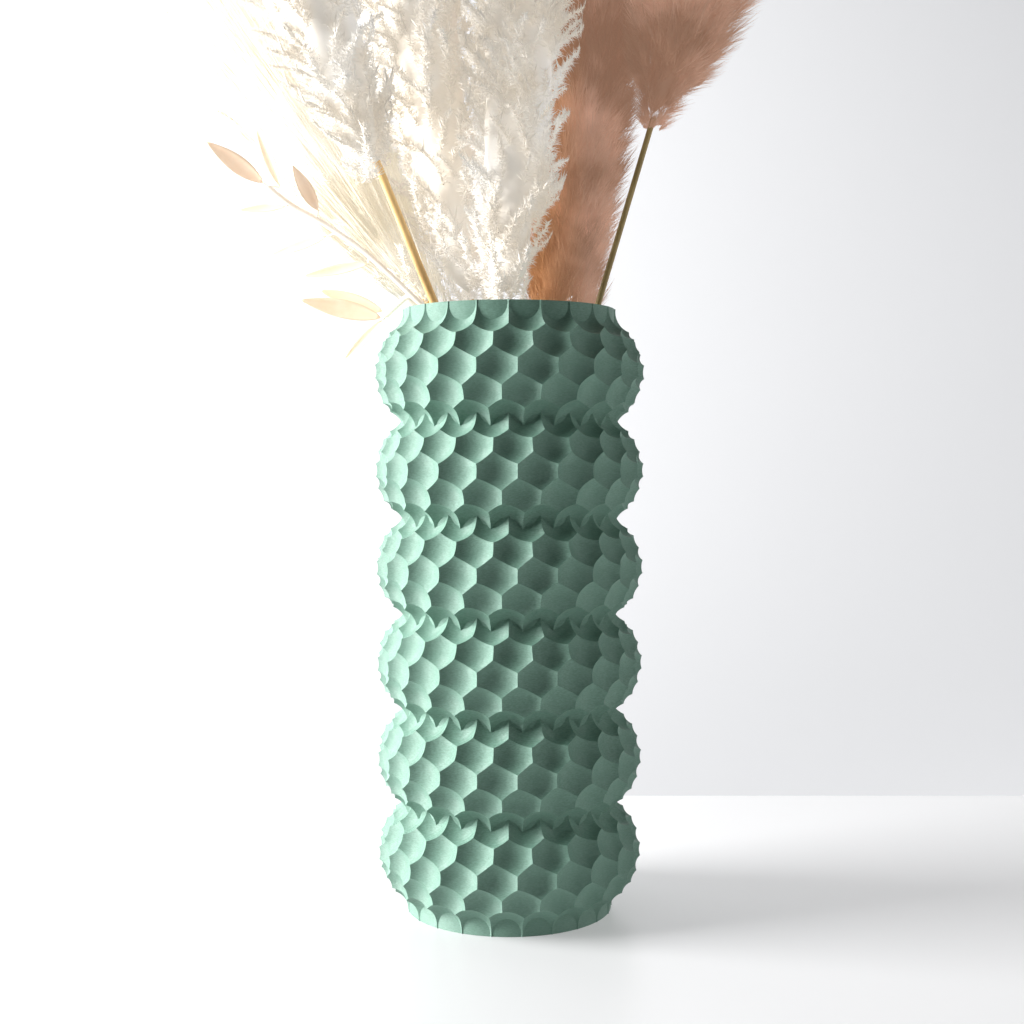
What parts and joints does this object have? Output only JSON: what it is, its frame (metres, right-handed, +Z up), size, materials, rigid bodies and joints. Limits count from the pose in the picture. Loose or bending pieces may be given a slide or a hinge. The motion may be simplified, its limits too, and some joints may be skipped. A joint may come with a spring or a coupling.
{
  "type": "honeycomb vase with dried stems",
  "caption": "tall printed vase of stacked round bulges covered in honeycomb dimples, holding feathery dried grass plumes and leafy twigs that each lift out",
  "frame": {"origin": "middle of the vase's foot, on the surface it stands on", "axes": "+Z up along the vase's centre line; -Y is the front, from which most of the stems lean left (-X)"},
  "size_m": [0.3049, 0.174, 0.5491],
  "materials": {
    "vase": "matte",
    "dry_stem": "matte",
    "blush_plume": "matte",
    "white_plume": "matte",
    "cream_plume": "matte",
    "dry_leaf": "matte"
  },
  "bodies": {
    "vase": {"vase": "vase"},
    "blush_right": {"blush_right_stem": "dry_stem", "blush_right_plume": "blush_plume"},
    "blush_tall": {"blush_tall_stem": "dry_stem", "blush_tall_plume": "blush_plume"},
    "white_front": {"white_front_stem": "dry_stem", "white_front_plume": "white_plume"},
    "white_middle": {"white_middle_stem": "dry_stem", "white_middle_plume": "white_plume"},
    "white_left": {"white_left_stem": "dry_stem", "white_left_plume": "white_plume"},
    "cream_left": {"cream_left_stem": "dry_stem", "cream_left_plume": "cream_plume"},
    "branch": {"branch_twig": "dry_stem", "branch_leaf_1": "dry_leaf", "branch_leaf_2": "dry_leaf", "branch_leaf_3": "dry_leaf", "branch_leaf_4": "dry_leaf", "branch_leaf_5": "dry_leaf", "branch_leaf_6": "dry_leaf"},
    "sprig": {"sprig_twig": "dry_stem", "sprig_leaf_1": "dry_leaf", "sprig_leaf_2": "dry_leaf", "sprig_leaf_3": "dry_leaf"}
  },
  "joints": [
    {"name": "blush_right_lift", "type": "slide", "parent": "vase", "child": "blush_right", "axis": [0.2828, -0.0326, 0.9586], "range_m": [0, 0.269]},
    {"name": "blush_tall_lift", "type": "slide", "parent": "vase", "child": "blush_tall", "axis": [0.1452, 0.0563, 0.9878], "range_m": [0, 0.261]},
    {"name": "white_front_lift", "type": "slide", "parent": "vase", "child": "white_front", "axis": [0.0559, 0, 0.9984], "range_m": [0, 0.258]},
    {"name": "white_middle_lift", "type": "slide", "parent": "vase", "child": "white_middle", "axis": [-0.1881, -0.0666, 0.9799], "range_m": [0, 0.104]},
    {"name": "white_left_lift", "type": "slide", "parent": "vase", "child": "white_left", "axis": [-0.3711, -0.1969, 0.9075], "range_m": [0, 0.161]},
    {"name": "cream_left_lift", "type": "slide", "parent": "vase", "child": "cream_left", "axis": [-0.5398, 0.2802, 0.7938], "range_m": [0, 0.135]},
    {"name": "branch_lift", "type": "slide", "parent": "vase", "child": "branch", "axis": [-0.7337, -0.0041, 0.6795], "range_m": [0, 0.11]},
    {"name": "sprig_lift", "type": "slide", "parent": "vase", "child": "sprig", "axis": [-0.2869, -0.0573, 0.9563], "range_m": [0, 0.222]}
  ]
}
